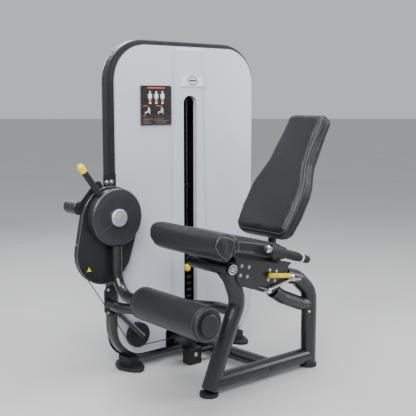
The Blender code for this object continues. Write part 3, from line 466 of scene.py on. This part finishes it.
def placard():
    x0, x1, z0, z1 = 0.159, 0.343, 1.187, 1.378
    face = 0.4987
    wide, high = x1 - x0, z1 - z0

    def spot(u, v):
        return x0 + u * wide, z0 + v * high

    def bar(u0, u1, v0, v1, r=0.0008):
        (a, c), (b, d) = spot(u0, v0), spot(u1, v1)
        return rounded(a, b, c, d, min(r, 0.45 * (b - a), 0.45 * (d - c)), 2)

    def dot(u, v, r, sides=12):
        x, z = spot(u, v)
        return [(x + r * math.cos(TAU * k / sides), z + r * math.sin(TAU * k / sides)) for k in range(sides)]

    bm = bmesh.new()
    path = [at(x, face, z) for x, z in rounded(x0 + 0.001, x1 - 0.001, z0 + 0.001, z1 - 0.001, 0.007)]
    tube(bm, path, 0.0011, 6, closed=True)
    piece("placard_rim_bead", bm, PANEL_RIM)
    flat_pieces("placard_band_low", [bar(0.02, 0.98, 0.02, 0.27)], face, 0.0002, BROWN)
    white, accent = [], []
    for u in (0.30, 0.50, 0.70):
        white += [
            dot(u, 0.835, 0.0052), bar(u - 0.035, u + 0.035, 0.67, 0.80, 0.002),
            bar(u - 0.062, u - 0.042, 0.68, 0.79), bar(u + 0.042, u + 0.062, 0.68, 0.79),
            bar(u - 0.033, u - 0.004, 0.54, 0.66), bar(u + 0.004, u + 0.033, 0.54, 0.66),
        ]
        accent += [bar(u - 0.033, u - 0.004, 0.585, 0.645), bar(u + 0.004, u + 0.033, 0.585, 0.645)]
    for u in (0.24, 0.66):
        white += [
            dot(u + 0.02, 0.445, 0.0034), bar(u - 0.01, u + 0.03, 0.34, 0.42),
            bar(u - 0.09, u + 0.02, 0.325, 0.35),
            bar(u + 0.045, u + 0.06, 0.29, 0.42), bar(u - 0.10, u - 0.08, 0.285, 0.345),
        ]
    flat_pieces("placard_figures", white, face, 0.0003, PALE)
    accent += [bar(0.22, 0.78, 0.925, 0.950), bar(0.08, 0.22, 0.485, 0.500), bar(0.50, 0.68, 0.485, 0.500)]
    accent += [bar(0.08, 0.16, 0.235, 0.250), bar(0.42, 0.47, 0.13, 0.15)]
    flat_pieces("placard_accents", accent, face, 0.0005, ORANGE)
    lines = []
    for left, width, shares in ((0.08, 0.30, (0.9, 0.7, 1.0)), (0.50, 0.38, (0.8, 1.0, 0.6))):
        for k, share in enumerate(shares):
            lines.append(bar(left, left + width * share, 0.06 + 0.05 * k, 0.070 + 0.05 * k))
    flat_pieces("placard_rows", lines, face, 0.0004, PANEL_RIM)


placard()


def badge():
    face = 0.4837
    bm = bmesh.new()
    path = [at(x, face, z) for x, z in rounded(0.3905, 0.5345, 1.3755, 1.4315, 0.008)]
    tube(bm, path, 0.0010, 6, closed=True)
    piece("badge_border", bm, PANEL_RIM)
    turns = [TAU * k / 6 for k in range(6)]
    ring = [(0.4625 + 0.030 * math.cos(a), 1.4035 + 0.021 * math.sin(a)) for a in turns]
    bm = bmesh.new()
    tube(bm, [at(x, face, z) for x, z in ring], 0.0022, 6, closed=True)
    slab(bm, rounded(0.4415, 0.4835, 1.3995, 1.4075, 0.003, 3), face - 0.0008, face + 0.0003)
    piece("badge_emblem", bm, plastic("badge_grey", (0.045, 0.046, 0.05), 0.4))


badge()


def stack_well():
    """Near-black sheet behind the slot as painted shade inside the tower, a rubber collar on the guide rod
    and tags on the plates.
    """
    bm = bmesh.new()
    loops = []
    for y, inset in ((0.5990, 0.020), (0.6480, 0.048), (0.7000, 0.092)):
        outline = rounded(-0.004 + 0.030 + inset, 0.902 - 0.030 - inset, 0.070, 1.552 - inset, 0.110, 6)
        loops.append([at(x, y, z) for x, z in outline])
    skin(bm, loops, cap_start=False)
    shade_sheet = piece("stack_well", bm, WELL_SHADE)
    thick = shade_sheet.modifiers.new("Solidify", "SOLIDIFY")
    thick.thickness = 0.0012
    bm = bmesh.new()
    collar = [(0, 0.0135), (0, 0.020), (0.003, 0.0215), (0.019, 0.0215), (0.022, 0.020)]
    turned(bm, at(0.538, 0.632, 0.856), (0, 0, 1), collar, 24)
    piece("rail_collar", bm, RUBBER)
    bm = bmesh.new()
    for k in range(12):
        z = 0.135 + (k + 0.5) * 0.034
        slab(bm, rounded(0.500, 0.528, z - 0.006, z + 0.006, 0.002, 2), 0.5842, 0.5846)
    tags = piece("plate_tags", bm, PANEL_RIM, None, False)
    return tags


def split_tags(tags):
    """Tags on the lifted plates rise with them."""
    low = 0.135 + 9 * 0.034
    for name, body, keep in (("tags_resting", "frame", False), ("tags_lifted", "stack", True)):
        bm = bmesh.new()
        bm.from_mesh(tags.data)
        drop = [v for v in bm.verts if (v.co.z > low) != keep]
        bmesh.ops.delete(bm, geom=drop, context="VERTS")
        piece(name, bm, PANEL_RIM, body, False)
    bpy.data.objects.remove(tags)


split_tags(stack_well())

# Guide rods: a darker copy of the chrome, painted shade for the rods inside the tower.
rod_painted_shade = bare_metal("guide_rod_painted_shade", (0.16, 0.165, 0.17), 0.22, 90.0)
for name in ("guide_rod_left", "guide_rod_right"):
    NODES[name].data.materials[0] = rod_painted_shade


# ------------------------------------------------------------------ grips and release lever

def rope_drop():
    """Vertical run of the rope, drawn at rest as a fixed tube; the real run shortens as the stack rises."""
    low, high = 0.6188, 1.4277
    x, y = 0.449, 0.632
    bm = bmesh.new()
    tube(bm, [at(x, y, low + (high - low) * k / 12.0) for k in range(13)], 0.0025, 12)
    rope = piece("rope_drop", bm, SHEATH)
    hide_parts("cable_drop")
    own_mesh(rope)


rope_drop()


def rear_cover():
    """Moulded rear cover with soft edges, two panel seams and screws."""
    knots = [
        (0.0, 0.0), (0.030, 0.010), (0.060, 0.026), (0.085, 0.042), (0.105, 0.062),
        (0.117, 0.080), (0.1235, 0.100), (0.1243, 0.125), (0.1244, 0.170), (0.1244, 0.300),
    ]

    def loop(deep, inset, fine=14):
        x0, x1 = -0.004 + 0.025 + inset, 0.902 - 0.025 - inset
        z0, z1 = 0.045 + 0.15 * inset, 1.592 - 0.025 - inset
        spots = []
        for cx, cz, r, first in (
            (x1, z0, 0.12, 270), (x1, z1, 0.175, 0), (x0, z1, 0.175, 90), (x0, z0, 0.12, 180),
        ):
            r = max(0.012, r - 0.35 * inset) if inset > 0.11 else r
            mx = cx - r if cx == x1 else cx + r
            mz = cz - r if cz == z1 else cz + r
            for k in range(fine + 1):
                a = math.radians(first + 90.0 * k / fine)
                spots.append(at(mx + r * math.cos(a), 0.5978 + deep, mz + r * math.sin(a)))
        return spots

    bm = bmesh.new()
    skin(bm, [loop(deep, inset) for deep, inset in knots], cap_start=False)
    cover = piece("rear_cover", bm, SILVER, "frame")
    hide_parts("shroud_rear")
    lip = bmesh.new()
    tube(lip, loop(0.0016, 0.0012), 0.0024, 6, closed=True)
    piece("rear_cover_lip", lip, MATT_BLACK)
    seams = bmesh.new()
    for z in (0.30, 1.24):
        tube(seams, [at(0.150, 0.7215, z), at(0.449, 0.7215, z), at(0.748, 0.7215, z)], 0.0009, 6)
    for x in (0.150, 0.748):
        tube(seams, [at(x, 0.7215, 0.30), at(x, 0.7215, 0.77), at(x, 0.7215, 1.24)], 0.0009, 6)
    piece("rear_hatch_seam", seams, MATT_BLACK)
    spots = [(x, 0.7196, z) for x in (0.170, 0.728) for z in (0.325, 0.770, 1.215)]
    bolts("rear_hatch_screws", spots, (0, 1, 0), 0.0040)


rear_cover()


def grip_rings():
    for name, side in (("near", -1), ("far", 1)):
        y = side * 0.265
        start, end = at(0.283, y, 0.687), at(0.515, y, 0.614)
        axis = (end - start).normalized()
        bm = bmesh.new()
        band = [(0, 0.0165), (0, 0.0200), (0.005, 0.0200), (0.005, 0.0165)]
        turned(bm, start + axis * 0.1865, axis, band, 24)
        piece("grip_ring_" + name, bm, PALE)
        bm = bmesh.new()
        for k in range(9):
            middle = start + axis * (0.092 + 0.0098 * k)
            r = 0.0180 + 0.0013 * math.sin(math.pi * k / 8.0)
            turned(bm, middle, axis, [(0, r), (0.002, r + 0.0012), (0.004, r)], 24)
        piece("grip_ribs_" + name, bm, RUBBER)


grip_rings()


def bar_plug():
    """Slotted plug in the open end of the front bar."""
    y = -0.0676
    bm = bmesh.new()
    profile = [
        (-0.0010, 0.0235), (0.0006, 0.0235), (0.0014, 0.0215),
        (0.0004, 0.0190), (0.0002, 0.0120), (0.0010, 0.0100),
    ]
    turned(bm, at(0.246, y, 0.574), (0, -1, 0), profile, 32)
    piece("front_bar_plug", bm, STEEL)
    # Black marks on the plug face: painted shade for the slot openings.
    bm = bmesh.new()
    for k in range(6):
        a = TAU * (k + 0.5) / 6
        x, z = 0.246 + 0.0152 * math.cos(a), 0.574 + 0.0152 * math.sin(a)
        turned(bm, at(x, y - 0.0001, z), (0, -1, 0), [(0, 0.0030), (0.0008, 0.0030), (0.0009, 0.0018)], 10)
    slab(bm, rounded(0.2400, 0.2520, 0.5722, 0.5758, 0.0015, 3), y - 0.0018, y - 0.0006)
    piece("front_bar_plug_slot_shade", bm, MATT_BLACK)


bar_plug()


def release_details():
    bm = bmesh.new()
    hub = [(0, 0.0125), (0.003, 0.0125), (0.006, 0.009), (0.007, 0.004)]
    turned(bm, at(0.466, -0.0700, 0.446), (0, -1, 0), hub, 20)
    piece("release_hub_cap", bm, CHROME, "release")
    bm = bmesh.new()
    start, end = at(0.474, -0.060, 0.5145), at(0.609, -0.060, 0.4945)
    along = (end - start).normalized()
    rib = [(0, 0.0112), (0.001, 0.0121), (0.003, 0.0121), (0.004, 0.0112)]
    for k in range(3):
        turned(bm, start + along * (0.010 + 0.006 * k), along, rib, 20)
    piece("release_grip_ribs", bm, YELLOW, "release")


release_details()


# ------------------------------------------------------------------ soft goods


def stuffed(node, shrink, voxel, pressure, limit, hold):
    """Inflate a shrunken copy of a plain pad by cloth simulation; hold(point, normal) scales each move."""
    made = bpy.data.objects.new(node + "_cushion", NODES[node].data.copy())
    bpy.context.scene.collection.objects.link(made)
    made.data.materials.clear()
    made.data.materials.append(HIDE)
    for vertex in made.data.vertices:
        vertex.co -= vertex.normal * shrink
    remesh = made.modifiers.new("Remesh", "REMESH")
    remesh.mode = "VOXEL"
    remesh.voxel_size = voxel
    bake(made)
    relax = made.modifiers.new("Relax", "SMOOTH")
    relax.iterations = 2
    bake(made)
    start = [vertex.co.copy() for vertex in made.data.vertices]
    share = [hold(vertex.co, vertex.normal) for vertex in made.data.vertices]
    cloth = made.modifiers.new("Cloth", "CLOTH")
    cloth.settings.use_pressure = True
    cloth.settings.uniform_pressure_force = pressure
    cloth.settings.effector_weights.gravity = 0.0
    cloth.settings.quality = 4
    for number in range(1, 21):
        bpy.context.scene.frame_set(number)
    bake(made)
    bpy.context.scene.frame_set(1)
    for vertex, old, part in zip(made.data.vertices, start, share):
        step = vertex.co - old
        reach = limit * part
        if step.length > reach:
            step *= reach / step.length
        vertex.co = old + step
    relax = made.modifiers.new("Relax", "SMOOTH")
    relax.iterations = 2
    finer = made.modifiers.new("Subdivision", "SUBSURF")
    finer.levels = 1
    bake(made)
    return made


def bake(thing):
    """Freeze an object's modifiers into its mesh."""
    bpy.context.view_layer.update()
    graph = bpy.context.evaluated_depsgraph_get()
    mesh = bpy.data.meshes.new_from_object(thing.evaluated_get(graph))
    thing.modifiers.clear()
    thing.data = mesh
    mesh.polygons.foreach_set("use_smooth", [True] * len(mesh.polygons))


def surface(thing):
    mesh = thing.data
    return BVHTree.FromPolygons([v.co for v in mesh.vertices], [tuple(p.vertices) for p in mesh.polygons])


def press(thing, depth):
    """Push the skin in along its normal by depth(point)."""
    mesh = thing.data
    moves = [(v, v.normal.copy(), depth(v.co)) for v in mesh.vertices]
    for vertex, normal, amount in moves:
        vertex.co -= normal * amount
    mesh.update()


def bell(distance, width):
    return math.exp(-(distance / width) ** 2)


def gap_to(path, point):
    """Distance from a point to a polyline."""
    best = 1.0
    for a, b in zip(path, path[1:]):
        side = b - a
        t = max(0.0, min(1.0, (point - a).dot(side) / side.length_squared))
        best = min(best, (a + side * t - point).length)
    return best


def evenly(path, step):
    """Points along a polyline at equal steps."""
    spots = [path[0]]
    left = step
    for a, b in zip(path, path[1:]):
        length = (b - a).length
        done = 0.0
        while length - done > left:
            done += left
            spots.append(a.lerp(b, done / length))
            left = step
        left -= length - done
    return spots


def cast(tree, origins, direction):
    """Drop points onto a surface along a direction."""
    found = []
    for origin in origins:
        hit = tree.ray_cast(origin, direction)
        if hit[0] is not None:
            found.append((hit[0], hit[1]))
    return found


def stitches(bm, hits, radius=0.0009, lift=0.0004, every=2):
    """Short threads between neighbouring surface points, every second gap left open."""
    for k in range(0, len(hits) - 1, every):
        (a, na), (b, nb) = hits[k], hits[k + 1]
        if (a - b).length > 0.03:
            continue
        crown = (a + b) * 0.5 + na * lift * 2.0
        tube(bm, [a + na * (lift - radius), crown, b + nb * (lift - radius)], radius, 5)


def cord(bm, hits, radius, sink=0.3):
    """Continuous piping on a surface."""
    if len(hits) > 2:
        tube(bm, [p + n * radius * (1.0 - sink) for p, n in hits], radius, 8)


SEAT_END = 0.238
SEAT_TOP = [(0.1310, 0.747), (0.2560, 0.720), (0.3850, 0.686), (0.4020, 0.678)]
CREASE = [(0.1230, 0.7480), (0.1200, 0.7200), (0.1080, 0.6900), (0.0980, 0.6700)]
FAN = [
    (0.0740, 0.6640), (0.0460, 0.6790), (0.0240, 0.6980), (0.0130, 0.7240), (0.0180, 0.7480),
    (0.0370, 0.7610), (0.0640, 0.7600), (0.1000, 0.7490), (0.1140, 0.7360), (0.1110, 0.7160),
    (0.0970, 0.6880), (0.0860, 0.6680),
]


def seat():
    base = at(0.130, 0, 0.6825)
    slope = (at(0.400, 0, 0.6183) - base).normalized()
    up = Vector((-slope.z, 0.0, slope.x))

    def hold(point, normal):
        height = (point - base).dot(up)
        if height < 0.012 and point.x > base.x - 0.02:
            return 0.05
        return 1.0 if normal.z > -0.2 else 0.45

    made = stuffed("seat_pad", 0.0010, 0.006, 4.0, 0.009, hold)
    lines = {side: [at(x, side * SEAT_END, z) for x, z in CREASE] for side in (-1, 1)}
    across = at(0.1250, 0, 0).x

    def depth(point):
        amount = 0.0
        side = -1 if point.y < at(0, 0, 0).y else 1
        inward = SEAT_END - abs(point.y - at(0, 0, 0).y)
        if inward < 0.030:
            flat = Vector((point.x, lines[side][0].y, point.z))
            amount += 0.0105 * bell(gap_to(lines[side], flat), 0.0070) * (1.0 - inward / 0.030)
        if point.z > 0.715:
            amount += 0.0016 * bell(point.x - across, 0.0040)
        return amount

    press(made, depth)
    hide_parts("seat_pad")
    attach(made, "frame")
    tree = surface(made)
    thread = bmesh.new()
    for side in (-1, 1):
        inward = Vector((0, -side, 0))
        for path in (FAN, [(0.1330, 0.6900), (0.1350, 0.7330)] + [(x, z - 0.0105) for x, z in SEAT_TOP[1:]]):
            line = evenly([at(x, side * (SEAT_END + 0.05), z) for x, z in path], 0.0045)
            stitches(thread, cast(tree, line, inward))
    line = evenly([at(0.1290, -SEAT_END + 0.020, 0.80), at(0.1290, SEAT_END - 0.020, 0.80)], 0.0045)
    stitches(thread, cast(tree, line, Vector((0, 0, -1))))
    low_edge = evenly([at(-0.06, -SEAT_END + 0.012, 0.672), at(-0.06, SEAT_END - 0.012, 0.672)], 0.0052)
    low_edge = [p + Vector((0, 0, 0.0011 * math.sin(p.y * 47.0))) for p in low_edge]
    stitches(thread, cast(tree, low_edge, Vector((1, 0, 0))), 0.0008)
    piece("seat_thread", thread, THREAD)
    trim = bmesh.new()
    line = evenly([at(0.075, -SEAT_END + 0.006, 0.60), at(0.075, SEAT_END - 0.006, 0.60)], 0.012)
    cord(trim, cast(tree, line, Vector((0, 0, 1))), 0.0028)
    piece("seat_under_piping", trim, PIPING)


seat()

BACK_LOW = at(0.444, 0, 0.7075)
BACK_ALONG = Vector((0.5136, 0, 0.858))
BACK_BEHIND = Vector((0.858, 0, -0.5136))
BACK_SHAPE = [
    (0.016, 0.150), (0.034, 0.169), (0.120, 0.180), (0.225, 0.179), (0.275, 0.170), (0.325, 0.150),
    (0.375, 0.133), (0.495, 0.123), (0.610, 0.118), (0.626, 0.108),
]


def back_spot(run, y, depth):
    return BACK_LOW + BACK_ALONG * run + BACK_BEHIND * depth + Vector((0, y, 0))


def backrest():
    def hold(point, normal):
        return 0.06 if normal.dot(BACK_BEHIND) > 0.55 else 1.0

    made = stuffed("back_pad", 0.0, 0.006, 4.0, 0.0070, hold)
    inset = 0.0150
    ring = [(run, half - inset) for run, half in BACK_SHAPE]
    ring[0] = (0.019, 0.134)
    ring[-1] = (0.618, 0.094)
    outline = [back_spot(run, -half, 0.0) for run, half in ring]
    outline += [back_spot(run, half, 0.0) for run, half in ring[::-1]]
    outline.append(outline[0])

    def depth(point):
        deep = (point - BACK_LOW).dot(BACK_BEHIND)
        if deep > 0.020:
            return 0.0
        return 0.0024 * bell(gap_to(outline, point - BACK_BEHIND * deep), 0.0040)

    press(made, depth)
    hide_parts("back_pad")
    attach(made, "back")
    tree = surface(made)
    thread = bmesh.new()
    front = [p - BACK_BEHIND * 0.08 for p in evenly(outline, 0.0045)]
    stitches(thread, cast(tree, front, BACK_BEHIND))
    piping = bmesh.new()
    for side in (-1, 1):
        for deep, kind in ((0.0150, "thread"), (0.0560, "cord")):
            run = [back_spot(r, side * 0.26, deep) for r, half in BACK_SHAPE[1:-1]]
            hits = cast(tree, evenly(run, 0.0045 if kind == "thread" else 0.010), Vector((0, -side, 0)))
            if kind == "thread":
                stitches(thread, hits)
            else:
                cord(piping, hits, 0.0022)
    piece("back_thread", thread, THREAD, "back")
    piece("back_piping", piping, PIPING, "back")


backrest()


def roller():
    axis = at(-0.028, 0, 0.413)

    def hold(point, normal):
        reach = math.hypot(point.x - axis.x, point.z - axis.z)
        if reach < 0.052:
            return 0.02
        return 0.4 if abs(normal.y) > 0.6 else 1.0

    made = stuffed("roller_pad", 0.0010, 0.005, 4.0, 0.0045, hold)

    def depth(point):
        reach = math.hypot(point.x - axis.x, point.z - axis.z)
        inward = min(abs(point.y - at(0, -0.229, 0).y), abs(point.y - at(0, 0.226, 0).y))
        amount = 0.0012 * bell(inward - 0.014, 0.0030) if reach > 0.068 else 0.0
        return amount

    press(made, depth)
    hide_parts("roller_pad")
    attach(made, "roller")
    tree = surface(made)
    thread = bmesh.new()
    for y in (-0.229 + 0.0165, 0.226 - 0.0165):
        centre = Vector((axis.x, at(0, y, 0).y, axis.z))
        hits = []
        for k in range(91):
            a = TAU * k / 90
            out = Vector((math.cos(a), 0, math.sin(a)))
            hits += cast(tree, [centre + out * 0.12], -out)
        stitches(thread, hits, 0.0005)
    below = [Vector((axis.x + 0.02, at(0, y, 0).y, axis.z - 0.12)) for y in (-0.205, 0.200)]
    stitches(thread, cast(tree, evenly(below, 0.0045), Vector((0, 0, 1))))
    ends = bmesh.new()
    for y, side in ((-0.2292, -1), (0.2262, 1)):
        low, high = (0.0475, 0.0700) if side < 0 else (0.0300, 0.0700)
        centre = Vector((axis.x, at(0, y, 0).y, axis.z))
        profile = [(-0.0100, high + 0.0040), (-0.0040, high + 0.0030), (0.0, high), (0.0016, high - 0.0040)]
        profile += [(0.0022, 0.5 * (low + high)), (0.0012, low)]
        turned(ends, centre, (0, side, 0), profile, 56)
        rim = []
        for k in range(81):
            a = TAU * k / 80
            out = Vector((math.cos(a), 0, math.sin(a)))
            rim.append((centre + out * (high - 0.0045) + Vector((0, side * 0.0016, 0)), Vector((0, side, 0))))
        stitches(thread, rim, 0.0008)
    piece("roller_end_covers", ends, HIDE, "roller")
    piece("roller_thread", thread, THREAD, "roller")


roller()


# ------------------------------------------------------------------ camera, lights, floor

def camera():
    data = bpy.data.cameras.new("view")
    data.lens = 67.07
    data.sensor_width = 36.0
    data.clip_end = 60.0
    eye = bpy.data.objects.new("view", data)
    eye.location = at(-1.950, -2.551, 1.300)
    eye.rotation_euler = (math.radians(82.2), 0.0, math.radians(-39.6))
    bpy.context.scene.collection.objects.link(eye)
    bpy.context.scene.camera = eye


def lamp(name, place, target, size, watts, tint=(1.0, 1.0, 1.0)):
    data = bpy.data.lights.new(name, "AREA")
    data.shape = "RECTANGLE"
    data.size, data.size_y = size
    data.energy = watts
    data.color = tint
    thing = bpy.data.objects.new(name, data)
    thing.location = place
    thing.rotation_euler = (Vector(target) - Vector(place)).to_track_quat("-Z", "Y").to_euler()
    bpy.context.scene.collection.objects.link(thing)


def studio():
    world = bpy.data.worlds.new("studio")
    world.use_nodes = True
    sky = world.node_tree.nodes["Background"]
    sky.inputs["Color"].default_value = (0.93, 0.95, 1.0, 1.0)
    sky.inputs["Strength"].default_value = 0.62
    bpy.context.scene.world = world
    lamp("key", (-2.6, -2.4, 3.4), (0.0, 0.1, 0.7), (2.6, 1.8), 230.0, (1.0, 0.985, 0.96))
    lamp("overhead", (0.2, -0.3, 3.9), (0.1, 0.1, 0.6), (3.6, 1.4), 130.0)
    lamp("side", (2.9, -1.8, 2.0), (0.1, 0.1, 0.8), (1.2, 2.6), 45.0, (0.95, 0.97, 1.0))
    lamp("back", (0.6, 3.4, 2.6), (0.0, 0.3, 0.9), (2.4, 1.6), 50.0, (0.95, 0.97, 1.0))
    bm = bmesh.new()
    size = 60.0
    corners = [bm.verts.new((x * size, y * size, -0.0008)) for x, y in ((-1, -1), (1, -1), (1, 1), (-1, 1))]
    bm.faces.new(corners)
    mesh = bpy.data.meshes.new("floor")
    bm.to_mesh(mesh)
    bm.free()
    look = Look("floor_pale", 0.55)
    look.colour(look.noise(1.2, 4.0), [(0.3, (0.50, 0.50, 0.50)), (0.7, (0.545, 0.545, 0.54))])
    mesh.materials.append(look.made)
    floor = bpy.data.objects.new("floor", mesh)
    bpy.context.scene.collection.objects.link(floor)


camera()
studio()
